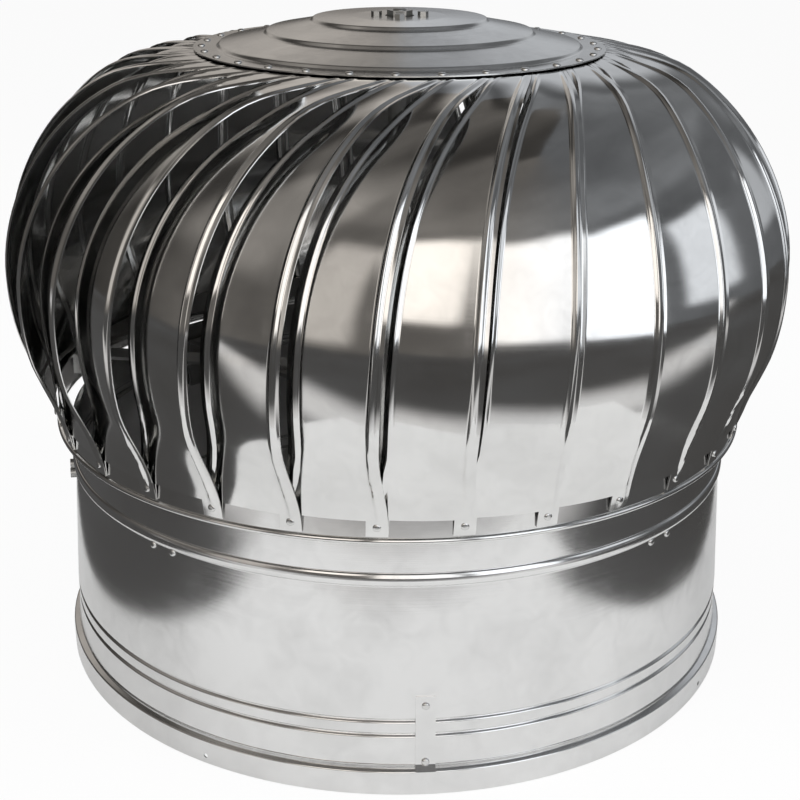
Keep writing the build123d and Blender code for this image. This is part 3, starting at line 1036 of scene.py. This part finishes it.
    def build(self, steel: bpy.types.Material) -> list[bpy.types.Object]:
        """Set the rivets of both bodies.

        Args:
            steel: Their material.

        Returns:
            One piece for each body.
        """
        head = self.head()
        tree = self.tree()
        pieces = []
        for body, spots in (("rotor", self.rotor_spots()), ("base", self.base_spots())):
            values = {"Rivet head": head, "Seed": self.seed, "Steel": steel}
            values["Tilt jitter"] = math.radians(self.jitter)
            piece = grown(f"{body}_rivets", self.spots_mesh(spots), tree, values)
            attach(piece, body)
            pieces.append(piece)
        bpy.data.objects.remove(head)
        return pieces


# Floor, light and camera

WHITE = (1.0, 1.0, 1.0, 1.0)


@dataclass(frozen=True)
class Panel:
    """One soft-edged panel of light in the studio room, in degrees from the room's middle."""

    azimuth: tuple[float, float]
    height: tuple[float, float]
    tone: float
    soft: float = 4.0

    def glow(self, azimuth: Field, height: Field) -> Field:
        """Light of the panel in a direction.

        Args:
            azimuth: Direction from the front, in degrees.
            height: Height over the horizon, in degrees.

        Returns:
            The panel's tone where the direction meets it, else 0.
        """
        across = azimuth.band(*((edge, self.soft) for edge in self.azimuth))
        upward = height.band(*((edge, self.soft) for edge in self.height))
        return across * upward * self.tone


PANELS = (
    Panel((-112.0, -62.0), (16.0, 64.0), 0.16, 12.0),
    Panel((-62.0, -36.0), (-4.0, 43.0), 0.5, 6.0),
    Panel((-35.0, -10.0), (9.0, 48.0), 1.35),
    Panel((-9.0, 22.0), (-2.0, 48.0), 1.35),
    Panel((22.0, 53.0), (-7.0, 46.0), 1.5),
    Panel((57.0, 86.0), (0.0, 38.0), 0.85),
    Panel((98.0, 118.0), (6.0, 34.0), 0.4),
)


@dataclass
class StudioRoom:
    """Dim room round the ventilator that only reflections show: windows, walls and dark floor.

    Directions are azimuths from the front and heights over the horizon, in degrees. Each pair of a
    start or end and a width is one soft edge.
    """

    radius: float = 4.0
    middle: float = 0.3
    board_left: float = 0.43
    board_right: float = 0.468
    board_front: float = 0.69
    board_back: float = 0.6
    board_glow: float = 0.7
    glow_near: tuple[float, float] = (-0.45, 0.2)
    glow_far: tuple[float, float] = (-0.92, 0.22)
    far_floor: float = 0.085
    far_floor_level: float = 0.002
    floor_mottle: float = 0.5
    wall: float = 0.05
    bright_wall: float = 0.09
    bright_wall_start: tuple[float, float] = (-118.0, 40.0)
    over_windows: float = 0.09
    over_windows_start: tuple[float, float] = (46.0, 6.0)
    over_windows_end: tuple[float, float] = (74.0, 20.0)
    back: float = 0.44
    back_side: tuple[float, float] = (120.0, 25.0)
    back_low: tuple[float, float] = (5.0, 10.0)
    back_high: tuple[float, float] = (44.0, 16.0)
    cloud_scale: float = 0.9
    cloud_base: float = 0.45
    cloud_gain: float = 1.1
    warm: tuple[float, float, float, float] = (1.0, 0.93, 0.86, 1.0)
    cool: tuple[float, float, float, float] = (0.95, 0.98, 1.03, 1.0)
    cool_start: tuple[float, float] = (-20.0, 60.0)
    panels: tuple[Panel, ...] = PANELS

    def hidden(self, name: str, work: bmesh.types.BMesh, glow: bpy.types.Material) -> None:
        """Put a mesh on the stage so that only shiny surfaces see it.

        Args:
            name: Name of the object.
            work: Its mesh, which is freed.
            glow: Its material.
        """
        part = linked(name, work)
        part.data.materials.append(glow)
        part.visible_camera = False
        part.visible_diffuse = False
        part.visible_shadow = False

    def room_light(self, spot: Place, cloud: Field) -> tuple[Field, Field]:
        """Brightness of the walls, the ceiling and the windows.

        Args:
            spot: Place on the room's dome, in metres.
            cloud: Soft noise.

        Returns:
            The tone, and 0 for warm light to 1 for cool.
        """
        x, y, z = spot
        azimuth = x.maths("ARCTAN2", x, 0.0 - y) * DEGREES
        lift = (z - self.middle) / self.radius
        height = lift.maths("ARCSINE", lift) * DEGREES
        side = (azimuth * azimuth) ** 0.5
        ceiling = height.band(self.over_windows_start, self.over_windows_end)
        behind = side.rise(*self.back_side) * height.band(self.back_low, self.back_high)
        tone = self.wall + azimuth.rise(*self.bright_wall_start) * self.bright_wall
        tone = tone + ceiling * self.over_windows + behind * self.back
        tone = tone * (self.cloud_base + cloud * self.cloud_gain)
        for panel in self.panels:
            tone = tone + panel.glow(azimuth, height)
        return tone, azimuth.rise(*self.cool_start)

    def floor_light(self, spot: Place, cloud: Field) -> tuple[Field, Field]:
        """Brightness of the dark floor, paler just in front of the pale board.

        Args:
            spot: Place on the floor, in metres.
            cloud: Soft noise.

        Returns:
            The tone, and 0 for warm light to 1 for cool.
        """
        depth = spot[1]
        beside = depth.band(self.glow_far, self.glow_near)
        return self.far_floor * (self.floor_mottle + cloud) + beside * self.board_glow, cloud

    def material(
        self, name: str, light: Callable[[Place, Field], tuple[Field, Field]]
    ) -> bpy.types.Material:
        """Build a glowing material.

        Args:
            name: Name of the material.
            light: Method that gives the tone and coolness at a place.

        Returns:
            The material.
        """
        made = bpy.data.materials.new(name)
        tree = shader_tree(made)
        spot = tree.node("ShaderNodeTexCoord", {}, "Object")
        mottle = {"Vector": spot, "Scale": self.cloud_scale, "Detail": 3.0}
        tone, coolness = light(tree.parts(spot), tree.node("ShaderNodeTexNoise", mottle))
        colour = tree.scaled(tree.blend(coolness, self.warm, self.cool), tone)
        tree.surface(tree.node("ShaderNodeEmission", {"Color": colour, "Strength": 1.0}))
        return made

    def build(self) -> None:
        """Make the room and the dark floor round the pale board."""
        room = bmesh.new()
        seat = Matrix.Translation((0, 0, self.middle))
        bmesh.ops.create_uvsphere(
            room, u_segments=64, v_segments=32, radius=self.radius, matrix=seat
        )
        self.hidden("studio_room", room, self.material("studio_room", self.room_light))
        floor = bmesh.new()
        reach = self.radius
        left, right = -self.board_left, self.board_right
        front, rear = -self.board_front, self.board_back
        inner = ((left, front), (right, front), (right, rear), (left, rear))
        outer = ((-reach, -reach), (reach, -reach), (reach, reach), (-reach, reach))
        near, far = (
            [floor.verts.new((x, y, self.far_floor_level)) for x, y in corners]
            for corners in (inner, outer)
        )
        for k in range(4):
            after = (k + 1) % 4
            floor.faces.new((far[k], far[after], near[after], near[k]))
        self.hidden("far_floor", floor, self.material("far_floor", self.floor_light))


@dataclass(frozen=True)
class Lamp:
    """One soft square lamp: its name, place, side and power."""

    name: str
    place: tuple[float, float, float]
    size: float
    power: float


@dataclass
class Studio:
    """Pale floor, soft light and the camera of the photograph, in metres, degrees and watts."""

    camera_place: tuple[float, float, float] = (0.0, -1.2981, 0.7194)
    camera_down: float = 21.14
    camera_yaw: float = 0.10
    camera_roll: float = 0.36
    lens: float = 66.28
    sensor: float = 36.0
    floor_radius: float = 14.0
    floor_level: float = -0.0005
    floor_tone: float = 0.9
    floor_white: float = 0.92
    soft_strength: float = 0.5
    lamp_target: tuple[float, float, float] = (0.0, 0.0, 0.25)
    lamps: tuple[Lamp, ...] = (
        Lamp("soft_left", (-1.6, -1.4, 2.4), 1.6, 42.0),
        Lamp("soft_right", (1.9, -0.6, 2.0), 1.4, 26.0),
    )

    def floor(self) -> None:
        """Lay the pale floor, which is part of the stage."""
        work = bmesh.new()
        bmesh.ops.create_circle(work, cap_ends=True, segments=96, radius=self.floor_radius)
        floor = linked("pale_floor", work)
        floor.location.z = self.floor_level
        made = bpy.data.materials.new("pale_floor")
        tree = shader_tree(made)
        tone = self.floor_tone
        plain = tree.node("ShaderNodeBsdfDiffuse", {"Color": (tone, tone, tone, 1.0)})
        white = tree.node("ShaderNodeEmission", {"Color": WHITE, "Strength": 1.0})
        seen = tree.node("ShaderNodeLightPath", {}, "Is Camera Ray") * self.floor_white
        tree.surface(tree.node("ShaderNodeMixShader", {0: seen, 1: plain, 2: white}))
        floor.data.materials.append(made)

    def world(self) -> None:
        """Light the scene softly from all round, with a pale background behind it."""
        made = bpy.data.worlds.new("soft_studio")
        tree = shader_tree(made)
        bpy.context.scene.world = made
        shade = "ShaderNodeBackground"
        soft = tree.node(shade, {"Color": WHITE, "Strength": self.soft_strength})
        pale = tree.node(shade, {"Color": WHITE, "Strength": 1.0})
        path = tree.node("ShaderNodeLightPath", {}, "Is Camera Ray")
        outs = path.socket.node.outputs
        seen = path.higher(Field(tree, outs["Is Glossy Ray"]))
        seen = seen.higher(Field(tree, outs["Is Transmission Ray"]))
        both = tree.node("ShaderNodeMixShader", {0: seen, 1: soft, 2: pale})
        tree.surface(both, "ShaderNodeOutputWorld")

    def hang(self, lamp: Lamp) -> None:
        """Hang one soft lamp that points at the ventilator.

        Args:
            lamp: What it is and where it hangs.
        """
        data = bpy.data.lights.new(lamp.name, "AREA")
        data.size = lamp.size
        data.energy = lamp.power
        hung = linked(lamp.name, data)
        hung.location = lamp.place
        aim = Vector(self.lamp_target) - Vector(lamp.place)
        hung.rotation_euler = aim.to_track_quat("-Z", "Y").to_euler()
        hung.visible_camera = False
        hung.visible_glossy = False

    def camera(self) -> None:
        """Stand the camera where the photograph was taken."""
        data = bpy.data.cameras.new("photograph_camera")
        data.lens = self.lens
        data.sensor_width = self.sensor
        camera = linked("photograph_camera", data)
        turn = (
            Matrix.Rotation(-math.radians(self.camera_yaw), 4, "Z")
            @ Matrix.Rotation(math.radians(90 - self.camera_down), 4, "X")
            @ Matrix.Rotation(math.radians(self.camera_roll), 4, "Z")
        )
        camera.rotation_mode = "QUATERNION"
        camera.location = self.camera_place
        camera.rotation_quaternion = turn.to_quaternion()
        bpy.context.scene.camera = camera

    def build(self) -> None:
        """Set up the whole studio."""
        bpy.context.scene.view_settings.view_transform = "Standard"
        self.floor()
        self.world()
        for lamp in self.lamps:
            self.hang(lamp)
        StudioRoom().build()
        self.camera()


def dress_cad_pieces(finishes: dict[str, bpy.types.Material]) -> None:
    """Give every CAD piece that still shows the finish of its material slot.

    Args:
        finishes: Material slot to material.
    """
    for entry in frame["record"]["subparts"]:
        node = frame["nodes"][entry["node"]]
        node.data.materials.clear()
        node.data.materials.append(finishes[entry["material_slot"]])


def main() -> None:
    """Build the pieces in order and report each."""
    logging.basicConfig(level=logging.INFO, format="%(name)s: %(message)s")
    shared = (HEAD_STEEL, NECK_STEEL, PLATE_STEEL, RIVET_STEEL)
    steels = {finish.name: finish.material() for finish in shared}
    slots = {
        "sheet_steel": steels[NECK_STEEL.name],
        "flat_steel": BAR_STEEL.material(),
        "fastener_steel": SCREW_STEEL.material(),
        "bearing_steel": BEARING_STEEL.material(),
        "housing_metal": HOUSING_METAL.material(),
    }
    dress_cad_pieces(slots)
    shell = HeadShell()
    pieces = [
        Louvres().build(steels[HEAD_STEEL.name]),
        shell.ring(steels[HEAD_STEEL.name]),
        shell.plate(steels[PLATE_STEEL.name]),
        Neck().build(steels[NECK_STEEL.name]),
        *Rivets().build(steels[RIVET_STEEL.name]),
    ]
    for piece in pieces:
        LOG.info("%s: %d faces", piece.name, len(piece.data.polygons))
    Studio().build()


if __name__ == "__main__":
    main()
